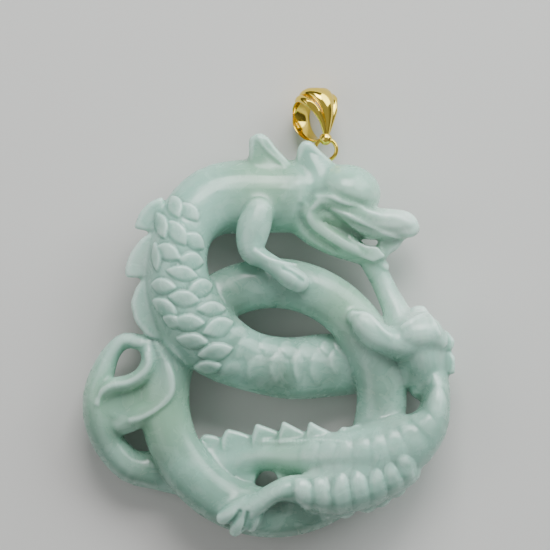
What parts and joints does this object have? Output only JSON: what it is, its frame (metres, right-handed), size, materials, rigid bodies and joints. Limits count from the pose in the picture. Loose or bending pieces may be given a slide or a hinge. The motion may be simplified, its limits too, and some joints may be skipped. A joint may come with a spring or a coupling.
{
  "type": "jade dragon pendant",
  "caption": "Carved jade pendant: a dragon wound round a plain open ring, with a gold leaf bail on a small jump ring for a chain.",
  "frame": {"origin": "middle of the bottom of the pendant's own box, on the surface that it lies on", "axes": "+Z out of the carved face, +Y from the ring towards the bail, +X to the viewer's right"},
  "size_m": [0.0556, 0.0672, 0.0136],
  "materials": {
    "jade": "waxy polish",
    "gold": "mirror polish"
  },
  "bodies": {
    "root": {"jade_carving": "jade", "jump_ring": "gold", "bail": "gold"}
  },
  "joints": []
}
